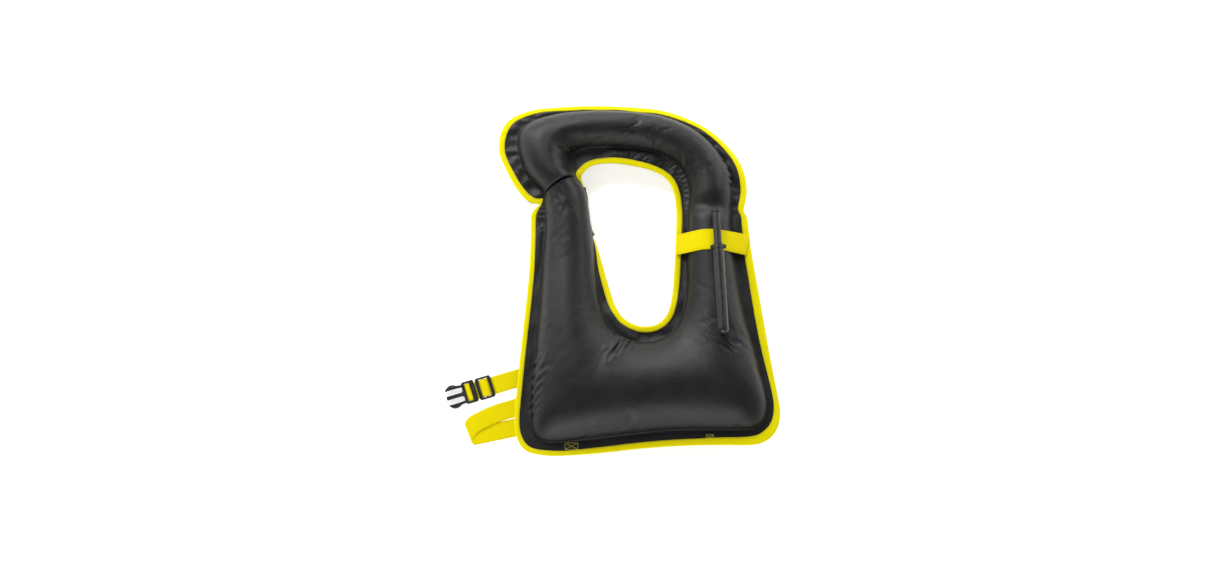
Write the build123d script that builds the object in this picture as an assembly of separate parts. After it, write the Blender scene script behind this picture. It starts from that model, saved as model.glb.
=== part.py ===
from build123d import *
import math
import os

# Inflatable snorkel life jacket, inflated and lying on its back.
# +X is the right of the vest as seen from the front, +Y runs towards the collar and +Z is up.
# All sizes are in millimetres.

# Inflated chambers and the flat margin round them
SEAM_Z = 38.0              # height of the seam plane, where front and back panels meet
CLOTH = 1.2                # thickness of each cover panel
BLADDER_GAP = 0.3          # between cover and bladder
BLADDER_WALL = 0.8
RISE_BASE = 25.0           # a chamber's rise above the seam is RISE_BASE + RISE_SLOPE * width
RISE_SLOPE = 0.165
RISE_MAX = 48.0
SAG_RATIO = 1.06           # how far the chamber sags below the seam, before the floor flattens it
CREASE_SWELL = (0, 6, 14, 26, 40)   # distances from a crease at which a chamber's end is rounded
CREASE_PINCH = 0.84        # how much of the rise is lost at the crease itself

# Edge tape
TAPE_WIDTH = 9.0
TAPE_WRAP = 1.2            # tape thickness, on both faces and round the edge
TAPE_GAP = 0.05            # clearance between tape and panels

# Webbing
WEB_WIDTH = 30.0
WEB_THICK = 1.6
BAND_WIDTH = 35.0
BAND_Y = 60.0              # centre of the retainer band
BAND_ENDS = (58.0, 181.0)  # the band's ends in X

# Inflator
PIVOT = (136.0, -98.0, 97.3)   # centre of the hose's rounded foot
INFLATOR_TURN = 2.9            # degrees, the hose leans to the left going up
INFLATOR_PITCH = -3.4          # degrees, and it slopes down with the cover under it
HOSE_R = 9.0
HOSE_BORE_R = 5.0
HOSE_LENGTH = 136.0
STEM_R = 6.4
STEM_END = 206.0           # tip of the mouthpiece, from the pivot
PRESS_TRAVEL = 6.0

# Side-release buckle and slider
SLIDER_AT = (-257.0, -175.0)   # centre of the slider
STRAP_TURN = 197.2             # degrees, direction in which the strap runs out of the vest
BUCKLE_WIDTH = 38.0
SLIDER_LENGTH = 27.0
RAIL = 3.0
WEB_LOW = 0.2                  # underside of webbing that lies on the floor
LOOP_START = 15.0              # where the weave ends and the doubled end begins
RAIL_BOTTOM = WEB_THICK + 0.5
RAIL_TOP = RAIL_BOTTOM + 3.0

# Chamber seams: each station is (inner seam point, outer seam point), going round the neck
BIB_STATIONS = [
    ((-100, 158), (-155, 138)),
    ((-95, 60), (-169, 58)),
    ((-87, -7), (-171, -22)),
    ((-72, -55), (-175, -95)),
    ((-58, -76), (-182, -165)),
    ((-45, -92), (-182, -262)),
    ((-28, -105), (-125, -272)),
    ((-10, -112), (-55, -264)),
    ((9, -113), (20, -258)),
    ((28, -110), (95, -255)),
    ((45, -101), (168, -257)),
    ((60, -87), (208, -243)),
    ((70, -68), (206, -175)),
    ((78, -40), (192, -105)),
    ((83, 0), (178, -30)),
    ((86, 50), (166, 38)),
    ((88, 123), (156, 121)),
]
COLLAR_STATIONS = [
    ((86, 127), (154, 125)),
    ((81, 161), (149, 170)),
    ((71, 190), (132, 219)),
    ((48, 212), (92, 254)),
    ((15, 225), (35, 278)),
    ((-30, 230), (-25, 286)),
    ((-62, 229), (-90, 286)),
    ((-84, 222), (-150, 280)),
    ((-98, 210), (-190, 262)),
    ((-106, 194), (-206, 222)),
    ((-102, 166), (-173, 144)),
]

# Cut edges of the panels, going round the neck the same way
BIB_EDGE = [
    (-167, 138), (-180, 118), (-182, 60), (-188, -34), (-198, -144), (-206, -241), (-198, -278),
    (-165, -297), (-120, -299), (0, -289), (100, -283), (186, -283), (220, -270), (232, -234),
    (221, -172), (199, -48), (183, 62), (176, 122),
]
BIB_NECK = [
    (-88, 160), (-80, 120), (-66, 40), (-46, -34), (-24, -70), (8, -84), (36, -68), (51, -34),
    (58, 34), (60, 124),
]
COLLAR_EDGE = [
    (176, 126), (175, 170), (160, 206), (129, 241), (88, 271), (33, 294), (-50, 300), (-120, 298),
    (-190, 288), (-226, 264), (-236, 228), (-222, 188), (-190, 140),
]
COLLAR_NECK = [
    (60, 128), (56, 152), (35, 179), (-5, 196), (-58, 204), (-80, 196), (-90, 180), (-88, 166),
]

FAR = 700.0                # larger than anything here
PARTS = {}


def between(a, b, share):
    """The point part of the way from a to b."""
    return tuple(p + (q - p) * share for p, q in zip(a, b))


def rounded_end(first, second, length):
    """Stations close to a crease, with the share of the full rise at each."""
    out = []
    for s in CREASE_SWELL:
        share = s / length
        station = (between(first[0], second[0], share), between(first[1], second[1], share))
        out.append((station, 1 - CREASE_PINCH * (1 - s / CREASE_SWELL[-1]) ** 2.2))
    return out


def station_length(first, second):
    """Distance between the middles of two stations."""
    middle_a = between(first[0], first[1], 0.5)
    middle_b = between(second[0], second[1], 0.5)
    return math.dist(middle_a, middle_b)


def chamber(stations, inset):
    """The inflated chamber, every wall moved inwards by inset, flattened where it rests on the floor."""
    head = rounded_end(stations[0], stations[1], station_length(stations[0], stations[1]))
    tail = rounded_end(stations[-1], stations[-2], station_length(stations[-1], stations[-2]))
    middle = [(station, 1.0) for station in stations[1:-1]]
    if station_length(stations[0], stations[1]) < CREASE_SWELL[-1] + 8:
        middle = middle[1:]
    if station_length(stations[-1], stations[-2]) < CREASE_SWELL[-1] + 8:
        middle = middle[:-1]
    sections = []
    for (inner, outer), share in head + middle + tail[::-1]:
        sections.append(section(inner, outer, share, inset))
    solid = Solid.make_loft(sections)
    floor = Box(2 * FAR, 2 * FAR, FAR, align=(Align.CENTER, Align.CENTER, Align.MAX))
    return solid - floor.moved(Location((0, 0, inset)))


def section(inner, outer, share, inset):
    """A closed cross-section of a chamber: half an ellipse above the seam and half below."""
    width = math.dist(inner, outer)
    rise = min(RISE_MAX, RISE_BASE + RISE_SLOPE * width) * share
    along = ((outer[0] - inner[0]) / width, (outer[1] - inner[1]) / width, 0)
    plane = Plane(
        origin=(*between(inner, outer, 0.5), SEAM_Z), x_dir=along, z_dir=(along[1], -along[0], 0)
    )
    top = Edge.make_ellipse(width / 2 - inset, rise - inset, plane, 0, 180)
    bottom = Edge.make_ellipse(width / 2 - inset, rise * SAG_RATIO - inset, plane, 180, 360)
    return Wire([top, bottom])


def shifted(points, distance, left):
    """Points moved sideways from their own line, to its left or right."""
    out = []
    for i, (x, y) in enumerate(points):
        x0, y0 = points[max(i - 1, 0)]
        x1, y1 = points[min(i + 1, len(points) - 1)]
        length = math.dist((x0, y0), (x1, y1))
        side = distance if left else -distance
        out.append((x - (y1 - y0) / length * side, y + (x1 - x0) / length * side))
    return out


def ring_part(outer, inner, low, high):
    """A flat piece between two curved edges that run the same way, from height low to high."""
    line = Spline(*outer) + Line(outer[-1], inner[-1]) + Spline(*inner[::-1]) + Line(inner[0], outer[0])
    face = make_face(line)
    return extrude(face, high - low).moved(Location((0, 0, low)))


def slab(low, high):
    """Everything between two heights."""
    box = Box(2 * FAR, 2 * FAR, high - low, align=(Align.CENTER, Align.CENTER, Align.MIN))
    return box.moved(Location((0, 0, low)))


def covers(name, stations, edge, neck):
    """The front and back panels over one chamber, each with its flat margin."""
    outside = chamber(stations, 0)
    inside = chamber(stations, CLOTH)
    rim = (shifted(edge, TAPE_WRAP, True), shifted(neck, TAPE_WRAP, False))
    front = outside + ring_part(*rim, SEAM_Z, SEAM_Z + CLOTH)
    back = outside + ring_part(*rim, SEAM_Z - CLOTH, SEAM_Z)
    PARTS["front_cover_" + name] = (front - inside) & slab(SEAM_Z, FAR)
    PARTS["back_cover_" + name] = (back - inside) & slab(-1, SEAM_Z)


def bladder(name, stations):
    """The airtight bladder inside the covers."""
    start = CLOTH + BLADDER_GAP
    PARTS["bladder_" + name] = chamber(stations, start) - chamber(stations, start + BLADDER_WALL)


def tape(name, line, left):
    """Binding tape folded round a cut edge."""
    half = CLOTH + TAPE_GAP + TAPE_WRAP
    outside = ring_part(line, shifted(line, TAPE_WIDTH, left), SEAM_Z - half, SEAM_Z + half)
    clear = TAPE_WRAP - TAPE_GAP
    inside = ring_part(
        shifted(line, clear, left), shifted(line, TAPE_WIDTH + 4, left),
        SEAM_Z - CLOTH - TAPE_GAP, SEAM_Z + CLOTH + TAPE_GAP,
    )
    PARTS[name] = outside - inside


def retainer_band():
    """Webbing over the right lobe that keeps the hose in place, sewn down at both edges."""
    lift = CLOTH + TAPE_GAP + TAPE_WRAP + 0.1
    over = chamber(BIB_STATIONS, -0.3 - WEB_THICK) + slab(SEAM_Z + lift, SEAM_Z + lift + WEB_THICK)
    middle = sum(BAND_ENDS) / 2
    footprint = Box(
        BAND_ENDS[1] - BAND_ENDS[0], BAND_WIDTH, FAR, align=(Align.CENTER, Align.CENTER, Align.MIN)
    ).moved(Location((middle, BAND_Y, SEAM_Z + lift)))
    PARTS["retainer_band"] = (over & footprint) - chamber(BIB_STATIONS, -0.3)


def cylinder_y(radius, start, end):
    """A cylinder along local +Y."""
    shape = Cylinder(radius, end - start, align=(Align.CENTER, Align.CENTER, Align.MIN))
    return shape.rotate(Axis.X, -90).moved(Location((0, start, 0)))


def placed_inflator(shape):
    """From the inflator's own frame, +Y along the hose, to the vest's."""
    leaning = shape.rotate(Axis.X, INFLATOR_PITCH).rotate(Axis.Z, INFLATOR_TURN)
    return leaning.moved(Location(PIVOT))


def hose_port():
    """Welded flange in the bladder and the riser on which the hose's foot turns."""
    riser_r = 6.5
    top = PIVOT[2] - HOSE_R - 0.4
    bottom = 78.0
    flange = Cylinder(15, 2, align=(Align.CENTER, Align.CENTER, Align.MIN))
    riser = Cylinder(riser_r, top - bottom, align=(Align.CENTER, Align.CENTER, Align.MIN))
    duct = Cylinder(4, top - bottom, align=(Align.CENTER, Align.CENTER, Align.MIN))
    at = Location((PIVOT[0], PIVOT[1], bottom))
    PARTS["hose_port"] = (flange + riser - duct).moved(at)
    hole = Cylinder(riser_r + 0.1, 60, align=(Align.CENTER, Align.CENTER, Align.MIN)).moved(at)
    for name in ("front_cover_bib", "bladder_bib"):
        PARTS[name] = PARTS[name] - hole


def inflator():
    """Hose, valve, lock ring and mouthpiece, all on one line."""
    neck = HOSE_LENGTH
    hose = cylinder_y(HOSE_R, 0, neck) + Sphere(HOSE_R)
    hose -= cylinder_y(HOSE_BORE_R, 0, neck)
    hose -= Cylinder(4, 12, align=(Align.CENTER, Align.CENTER, Align.MAX))
    PARTS["inflation_hose"] = placed_inflator(hose)

    ring_start, ring_end = neck + 2.4, neck + 10.0
    collar_r, boss_r, seat_r = 7.2, 4.6, 2.6
    body = cylinder_y(HOSE_BORE_R, neck - 20, neck) + cylinder_y(8.6, neck, neck + 2)
    body += cylinder_y(collar_r, neck + 2, neck + 4.2) + cylinder_y(boss_r, neck + 4.2, neck + 26)
    body -= cylinder_y(seat_r, neck - 20, neck + 26)
    PARTS["valve_body"] = placed_inflator(body)

    ring = cylinder_y(9.4, ring_start, ring_end)
    for side in (-1, 1):
        wing = Box(5.5, ring_end - ring_start - 2, 4.5).moved(
            Location((side * 10.4, (ring_start + ring_end) / 2, 0))
        )
        ring += fillet(wing.edges().filter_by(Axis.Z), 1.5)
    ring -= cylinder_y(collar_r + 0.08, ring_start, ring_end)
    PARTS["valve_lock_ring"] = placed_inflator(ring)

    low = ring_end + 0.6
    mouth = cylinder_y(STEM_R, low, STEM_END - 3) + cylinder_y(STEM_R + 1.2, STEM_END - 3, STEM_END)
    mouth -= cylinder_y(boss_r + 0.08, low, neck + 38)
    mouth -= cylinder_y(3.6, neck + 38, STEM_END)
    PARTS["mouthpiece"] = placed_inflator(mouth)

    seal = cylinder_y(4.2, neck - 22.6, neck - 20.3) + cylinder_y(1.5, neck - 22.6, neck + 42)
    for turn in (0, 90):
        seal += Box(6.95, 3, 1.6).rotate(Axis.Y, turn).moved(Location((0, neck + 40.5, 0)))
    PARTS["valve_seal"] = placed_inflator(seal)

    coil = Helix(pitch=2.4, height=10.8, radius=3.6)
    wire = sweep(Plane(coil @ 0, z_dir=coil % 0) * Circle(0.35), path=coil, is_frenet=True)
    PARTS["valve_spring"] = placed_inflator(wire.rotate(Axis.X, -90).moved(Location((0, neck + 26.5, 0))))


def box_stitch(name, centre, width, depth):
    """A sewn box with a cross in it, in thick thread, on the front of the hem."""
    thread = 0.9
    height = 0.6
    corners = [(-1, -1), (1, -1), (1, 1), (-1, 1)]
    points = [(x * width / 2, y * depth / 2) for x, y in corners]
    runs = [(points[i], points[(i + 1) % 4]) for i in range(4)]
    runs += [(points[0], points[2]), (points[1], points[3])]
    shape = None
    for start, end in runs:
        length = math.dist(start, end) + thread
        turn = math.degrees(math.atan2(end[1] - start[1], end[0] - start[0]))
        bar = Box(length, thread, height, align=(Align.CENTER, Align.CENTER, Align.MIN))
        bar = bar.rotate(Axis.Z, turn).moved(Location((*between(start, end, 0.5), 0)))
        shape = bar if shape is None else shape + bar
    PARTS[name] = shape.moved(Location((*centre, SEAM_Z + CLOTH)))


def hem_tab(name, centre, width, depth):
    """Folded webbing sewn behind the hem by the box stitch."""
    tab = Box(width, depth, WEB_THICK, align=(Align.CENTER, Align.CENTER, Align.MAX))
    PARTS[name] = tab.moved(Location((*centre, SEAM_Z - CLOTH)))


def placed_strap(shape):
    """From the strap's own frame, +X away from the vest and zero at the slider, to the vest's."""
    return shape.rotate(Axis.Z, STRAP_TURN).moved(Location((*SLIDER_AT, 0)))


def web_run(points, width):
    """Webbing whose lower face follows points (along, height), with its thickness on top."""
    upper = [(x, z + WEB_THICK) for x, z in reversed(points)]
    face = make_face(Plane.XZ * Polyline(*points, *upper, close=True))
    return extrude(face, width / 2, both=True)


def waist_strap():
    """The strap from its seam under the vest to the slider, and its weave through the slider:
    under both rails and over the middle bar."""
    low, top = WEB_LOW, RAIL_TOP - 0.7
    foot, crown = 9.0, 2.2
    run = [(-86, 3.0), (-80, 1.2), (-74, low), (-foot - 0.1, low)]
    PARTS["waist_strap"] = placed_strap(web_run(run, WEB_WIDTH))
    weave = [(-foot, low), (-crown, top), (crown, top), (foot, low), (LOOP_START, low)]
    PARTS["strap_weave"] = placed_strap(web_run(weave, WEB_WIDTH))


def strap_slider():
    """Tri-glide: two windows and a lower middle bar."""
    window = (SLIDER_LENGTH - 3 * RAIL) / 2
    frame = Box(SLIDER_LENGTH, BUCKLE_WIDTH, RAIL_TOP - RAIL_BOTTOM, align=(Align.CENTER, Align.CENTER, Align.MIN))
    frame = fillet(frame.edges().filter_by(Axis.Z), 3)
    for side in (-1, 1):
        gap = Box(window, BUCKLE_WIDTH - 2 * RAIL, 9).moved(Location((side * (window + RAIL) / 2, 0, 1.5)))
        frame -= gap
    frame -= Box(RAIL + 1, BUCKLE_WIDTH - 2 * RAIL, 3, align=(Align.CENTER, Align.CENTER, Align.MIN)).moved(
        Location((0, 0, RAIL_TOP - RAIL_BOTTOM - 1.0))
    )
    PARTS["strap_slider"] = placed_strap(frame.moved(Location((0, 0, RAIL_BOTTOM))))


FRAME_START, FRAME_END = 15.6, 36.5
TIP = 66.0


def buckle_frame():
    """Male half of the buckle: strap window, body and centre guide."""
    length = FRAME_END - FRAME_START
    height = 5.0
    frame = Box(length, BUCKLE_WIDTH, height, align=(Align.MIN, Align.CENTER, Align.MIN))
    frame = fillet(frame.edges().filter_by(Axis.Z), 2.5)
    window = Box(length - 2 * RAIL - 2.5, BUCKLE_WIDTH - 2 * RAIL, 20, align=(Align.MIN, Align.CENTER, Align.CENTER))
    frame -= window.moved(Location((RAIL, 0, 0)))
    frame += Box(2.4, BUCKLE_WIDTH - 2, 2.4, align=(Align.CENTER, Align.CENTER, Align.MIN)).moved(
        Location((RAIL + 7.5, 0, 0))
    )
    guide = Box(TIP - FRAME_END + 1, 4.6, height - 1.6, align=(Align.MIN, Align.CENTER, Align.MIN))
    frame += guide.moved(Location((length - 1, 0, 0.8)))
    PARTS["buckle_frame"] = placed_strap(frame.moved(Location((FRAME_START, 0, RAIL_BOTTOM))))


def strap_loop():
    """The doubled end of the strap, under the buckle's rail, round its bar, and back to the slider."""
    bottom = [(LOOP_START + 0.1, WEB_LOW), (29.6, WEB_LOW), (29.6, 6.4), (24.0, 6.4)]
    top = [(20.0, 8.9), (13.0, 8.9), (9.0, 7.2), (4.6, 7.2)]
    inner = [(4.6, 5.6), (9.6, 5.6), (13.6, 7.3), (19.4, 7.3), (23.4, 4.8), (28.0, 4.8)]
    end = [(28.0, WEB_LOW + WEB_THICK), (LOOP_START + 0.1, WEB_LOW + WEB_THICK)]
    face = make_face(Plane.XZ * Polyline(*bottom, *top, *inner, *end, close=True))
    PARTS["strap_loop"] = placed_strap(extrude(face, WEB_WIDTH / 2, both=True))


def latch_arm(name, side):
    """One sprung arm of the buckle, thin at its root and thick at its arrow head."""
    root = FRAME_END + 0.4
    outline = [
        (root, 12.6), (root, 15.4), (root + 9, 15.6), (root + 13, 18.2), (root + 18, 18.4),
        (TIP - 3.5, 14.6), (TIP - 2.4, 12.0), (root + 20, 13.0), (root + 12, 13.2),
    ]
    face = make_face(Polyline(*[(x, side * y) for x, y in outline], close=True))
    arm = extrude(face, 4.2)
    if arm.volume < 0:
        arm = extrude(face, -4.2)
    arm = arm.moved(Location((0, 0, RAIL_BOTTOM + 0.4 - arm.bounding_box().min.Z)))
    PARTS[name] = placed_strap(arm)


LOOP_FOLD = (-283.0, -256.0)
LOOP_LOWER_END = (-167.0, -237.5)
LOOP_UPPER_END = (-211.0, -214.3)


def flat_run(start, end, low, width, extra=0.0):
    """A straight piece of webbing lying flat, from start to end."""
    length = math.dist(start, end)
    turn = math.degrees(math.atan2(end[1] - start[1], end[0] - start[0]))
    run = Box(length + extra, width, WEB_THICK, align=(Align.MIN, Align.CENTER, Align.MIN))
    return run.moved(Location((-extra, 0, 0))).rotate(Axis.Z, turn).moved(Location((*start, low)))


def loop_strap():
    """The lower strap: sewn under the vest, out, folded back on itself and into the socket."""
    low, high = WEB_LOW, WEB_LOW + WEB_THICK + 0.4
    lower = flat_run(LOOP_FOLD, LOOP_LOWER_END, low, WEB_WIDTH)
    upper = flat_run(LOOP_FOLD, LOOP_UPPER_END, high, WEB_WIDTH)
    fold = Box(3.0, WEB_WIDTH + 1, high + WEB_THICK - low, align=(Align.CENTER, Align.CENTER, Align.MIN))
    fold = fold.rotate(Axis.Z, 19).moved(Location((*LOOP_FOLD, low)))
    PARTS["loop_strap"] = lower + upper + fold


def buckle_socket():
    """Socket half of the buckle, on the end of the lower strap under the vest."""
    turn = math.degrees(
        math.atan2(LOOP_UPPER_END[1] - LOOP_FOLD[1], LOOP_UPPER_END[0] - LOOP_FOLD[0])
    )
    length, height, wall = 29.0, 7.6, 1.3
    width = BUCKLE_WIDTH - 2
    body = Box(length, width, height, align=(Align.MIN, Align.CENTER, Align.MIN))
    body = fillet(body.edges().filter_by(Axis.X), 2.5)
    mouth = Box(length - 8, width - 2 * wall, height - 2 * wall, align=(Align.MIN, Align.CENTER, Align.MIN))
    body -= mouth.moved(Location((8, 0, wall)))
    for side in (-1, 1):
        body -= Box(11, 8, height - 2 * wall, align=(Align.MIN, Align.CENTER, Align.MIN)).moved(
            Location((12, side * width / 2, wall))
        )
    body -= Box(3.4, WEB_WIDTH + 1, 20).moved(Location((4.2, 0, 0)))
    PARTS["buckle_socket"] = body.rotate(Axis.Z, turn).moved(Location((*LOOP_UPPER_END, WEB_LOW)))


def write_parts():
    """Moves the origin to the middle of the footprint and writes each node. The floor is at zero."""
    os.makedirs("parts", exist_ok=True)
    for old in os.listdir("parts"):
        os.remove(os.path.join("parts", old))
    boxes = [shape.bounding_box() for shape in PARTS.values()]
    low = [min(getattr(box.min, axis) for box in boxes) for axis in "XY"]
    high = [max(getattr(box.max, axis) for box in boxes) for axis in "XY"]
    shift = Location((-(low[0] + high[0]) / 2, -(low[1] + high[1]) / 2, 0))
    for name, shape in PARTS.items():
        export_step(shape.moved(shift), f"parts/{name}.step")
    print("origin moved by", shift.position, "size", [h - l for h, l in zip(high, low)])


covers("bib", BIB_STATIONS, BIB_EDGE, BIB_NECK)
covers("collar", COLLAR_STATIONS, COLLAR_EDGE, COLLAR_NECK)
bladder("bib", BIB_STATIONS)
bladder("collar", COLLAR_STATIONS)
tape("bib_edge_binding", BIB_EDGE, True)
tape("bib_neck_binding", BIB_NECK, False)
tape("collar_edge_binding", COLLAR_EDGE, True)
tape("collar_neck_binding", COLLAR_NECK, False)
retainer_band()
hose_port()
inflator()
box_stitch("hem_stitch_left", (-113, -282), 21, 11)
box_stitch("hem_stitch_right", (114, -267), 12, 9)
hem_tab("hem_tab_left", (-113, -282), 25, 11)
hem_tab("hem_tab_right", (114, -267), 17, 11)
waist_strap()
strap_slider()
buckle_frame()
strap_loop()
latch_arm("buckle_latch_left", 1)
latch_arm("buckle_latch_right", -1)
loop_strap()
buckle_socket()
write_parts()
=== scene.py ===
import math

import bmesh
import bpy
import numpy as np
from mathutils import Matrix, Vector
from mathutils.bvhtree import BVHTree


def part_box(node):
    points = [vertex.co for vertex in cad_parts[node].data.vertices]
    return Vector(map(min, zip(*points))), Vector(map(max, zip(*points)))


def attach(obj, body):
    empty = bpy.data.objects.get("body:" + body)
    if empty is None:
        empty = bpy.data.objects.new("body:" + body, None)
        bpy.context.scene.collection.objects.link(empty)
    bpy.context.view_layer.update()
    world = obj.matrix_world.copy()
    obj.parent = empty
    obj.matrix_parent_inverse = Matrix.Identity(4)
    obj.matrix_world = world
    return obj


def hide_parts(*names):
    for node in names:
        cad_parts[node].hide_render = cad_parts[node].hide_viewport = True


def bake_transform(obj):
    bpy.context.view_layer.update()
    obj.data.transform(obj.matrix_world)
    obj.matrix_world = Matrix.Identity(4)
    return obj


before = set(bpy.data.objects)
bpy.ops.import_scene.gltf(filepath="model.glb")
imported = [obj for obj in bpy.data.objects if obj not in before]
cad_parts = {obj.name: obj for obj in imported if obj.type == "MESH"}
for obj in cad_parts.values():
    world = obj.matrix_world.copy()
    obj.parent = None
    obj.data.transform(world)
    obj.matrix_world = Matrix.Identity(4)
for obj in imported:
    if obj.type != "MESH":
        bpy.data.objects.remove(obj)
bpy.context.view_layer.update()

# Inflated snorkel vest lying on its back. The vest's own coordinates are in millimetres, with
# +X to the vest's right as seen, +Y towards the collar and z = 0 at the floor.
MM = 0.001


def box_middle(node):
    """The middle of a CAD node's box, in metres."""
    low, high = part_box(node)
    return (np.array(low) + np.array(high)) / 2


HEM_TAB_AT = np.array([-113.0, -282.0])
ORIGIN = np.append(box_middle("hem_tab_left")[:2] - HEM_TAB_AT * MM, 0.0)


def metres(points):
    """Points in the vest's own millimetres, in the frame's metres."""
    points = np.asarray(points, float)
    if points.shape[-1] == 2:
        points = np.concatenate([points, np.zeros(points.shape[:-1] + (1,))], -1)
    return points * MM + ORIGIN


def linked(name, data):
    """A new object with this data, in the scene."""
    made = bpy.data.objects.new(name, data)
    bpy.context.scene.collection.objects.link(made)
    return made


UP = np.array([0.0, 0.0, 1.0])


def upright(line):
    """The upward direction at each point of a line."""
    return np.tile(UP, (len(line), 1))


# ---------------------------------------------------------------- the vest's shape

SEAM_Z = 38.0          # height of the seams, where the front and back panels meet
ACROSS = 34            # columns of cloth across a chamber
MARGIN_ROWS = 4        # rows of cloth across a flat margin
COLUMNS = 300

# Going round the neck from the left crease, down the left lobe, along the hem and back over
# the collar: neck edge, inner seam, outer seam, outer edge, rise of the chamber.
STATIONS = [
    ((-98, 176, 33), (-106, 178), (-160, 146), (-166, 133, 38), 40),
    ((-92, 151, 23), (-90, 150), (-158, 116), (-180, 114, 38), 39),
    ((-86, 101, 22), (-82, 100), (-159, 80), (-181, 76, 38), 38),
    ((-70, 52, 29), (-76, 50), (-163, 20), (-183, 20, 38), 38),
    ((-58, 8, 33), (-73, 5), (-167, -40), (-188, -40, 38), 41),
    ((-46, -34, 36), (-67, -37), (-172, -105), (-195, -108, 38), 44),
    ((-38, -52, 38), (-57, -66), (-178, -180), (-202, -182, 38), 46),
    ((-30, -64, 38), (-46, -85), (-179, -230), (-206, -238, 38), 47),
    ((-24, -69, 38), (-39, -91), (-177, -256), (-202, -268, 38), 47),
    ((-18, -73, 38), (-32, -96), (-168, -269), (-188, -289, 38), 47),
    ((-12, -76, 38), (-25, -100), (-148, -275), (-160, -296, 38), 47),
    ((-6, -78, 38), (-17, -103), (-112, -273), (-125, -297, 38), 48),
    ((1, -80, 38), (-5, -106), (-60, -267), (-62, -292, 38), 48),
    ((9, -80.5, 38), (9, -107), (0, -260), (0, -285, 38), 48),
    ((19, -79.5, 38), (23, -106), (60, -255), (60, -280.5, 38), 48),
    ((28, -76.5, 38), (37, -100), (122, -254), (122, -278.5, 38), 48),
    ((36, -71.5, 38), (50, -91), (180, -253), (186, -278, 38), 48),
    ((40, -67, 38), (56, -85), (200, -243), (211, -268, 38), 48),
    ((44, -62, 38), (61, -78), (208, -225), (224, -251, 38), 48),
    ((47, -56, 38), (65, -70), (208, -203), (229, -228, 38), 47),
    ((50, -48, 38), (69, -61), (202, -172), (226, -200, 38), 46),
    ((54, -29, 38), (75, -38), (187, -112), (213, -130, 38), 44),
    ((57, -1, 38), (79, -5), (173, -55), (202, -63, 38), 42),
    ((59, 34, 38), (79, 34), (163, 0), (192, 0, 38), 40),
    ((61, 70, 38), (79, 70), (156, 50), (184, 50, 38), 39),
    ((62, 103, 38), (80, 103), (153, 92), (180, 90, 38), 38),
    ((62, 120, 38), (81, 119), (153, 114), (177.5, 112, 38), 37),
    ((61.5, 126, 38), (82, 126), (153, 124), (172, 119, 38.8), 37),
    ((59, 147, 38), (84, 153), (154, 157), (178, 157, 37), 37),
    ((51, 169, 38), (78, 181), (147, 191), (169, 200, 37), 37),
    ((37, 183, 38), (63, 202), (124, 230), (141, 239, 36), 37),
    ((18, 192, 38), (40, 216), (88, 262), (101, 271, 35), 37),
    ((-4, 198, 38), (12, 226), (37, 283), (42, 295, 34), 37),
    ((-25, 202, 38), (-20, 231), (-18, 291), (-20, 302, 34), 37),
    ((-46, 204, 38), (-52, 232), (-72, 293), (-74, 304, 34), 37),
    ((-66, 203, 38), (-82, 231), (-122, 290), (-128, 302, 35), 38),
    ((-79, 200, 38), (-104, 227), (-170, 280), (-184, 295, 36), 39),
    ((-88, 195, 38), (-116, 217), (-200, 260), (-224, 273, 38), 41),
    ((-94, 189, 38), (-117, 204), (-204, 228), (-236, 229, 38), 42),
    ((-98, 184, 38), (-114, 193), (-193, 190), (-221, 188, 38), 42),
    ((-99, 180, 37), (-110, 186), (-175, 166), (-201, 153, 38), 42),
    ((-99, 178, 35), (-108, 181), (-163, 154), (-181, 133, 38.6), 41),
]
LEFT_CREASE = 0        # the station where the collar is folded over the left lobe
RIGHT_CREASE = 26.6    # and where it meets the right lobe
# How much of the outer tape's width lies on the front, by station.
TAPE_AT = [0, 1.5, 8, 12, 14.5, 17, 21, 23, 26, 42]
TAPE_SHARE = [1, 0.85, 0.85, 1.0, 1.1, 1.65, 1.65, 1.25, 1, 1]
CREASE_HEIGHT = 16.0   # height of the folded cloth above the seam plane, in the left crease
FULLNESS = 1.1         # above 1, the front rises more gently from its seams
LIGHT_CREASE = 7.0     # how far the cloth is drawn in at the right crease


def spline(values, t):
    """A closed Catmull-Rom curve through values at whole numbers of t."""
    count = len(values)
    i = np.floor(t).astype(int)
    f = (t - i)[:, None]
    p0, p1, p2, p3 = (values[(i + k) % count] for k in (-1, 0, 1, 2))
    bend = 2 * p0 - 5 * p1 + 4 * p2 - p3
    return 0.5 * (2 * p1 + (p2 - p0) * f + bend * f**2 + (3 * p1 - p0 - 3 * p2 + p3) * f**3)


def ring_length(values):
    """Distance from each point of a closed line to the next."""
    return np.linalg.norm(np.roll(values, -1, 0) - values, axis=1)


def vest_columns():
    """Stations evenly spaced round the vest, closer together near the left crease."""
    tables = [
        np.array([s[0] for s in STATIONS], float),
        np.array([(*s[1], SEAM_Z) for s in STATIONS], float),
        np.array([(*s[2], SEAM_Z) for s in STATIONS], float),
        np.array([s[3] for s in STATIONS], float),
        np.array([[s[4]] for s in STATIONS], float),
    ]
    count = len(STATIONS)
    fine = np.arange(0, count, 0.01)
    inner, outer = spline(tables[1], fine), spline(tables[2], fine)
    step = (ring_length((inner + outer) / 2) + ring_length(outer)) / 2
    nearness = np.minimum(fine, count - fine)
    weight = step * (1 + 1.3 * np.exp(-(nearness**2)))
    total = np.concatenate([[0], np.cumsum(weight)])
    t = np.interp(np.arange(COLUMNS) * total[-1] / COLUMNS, total, np.append(fine, count))
    return t, [spline(table, t) for table in tables]


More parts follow.
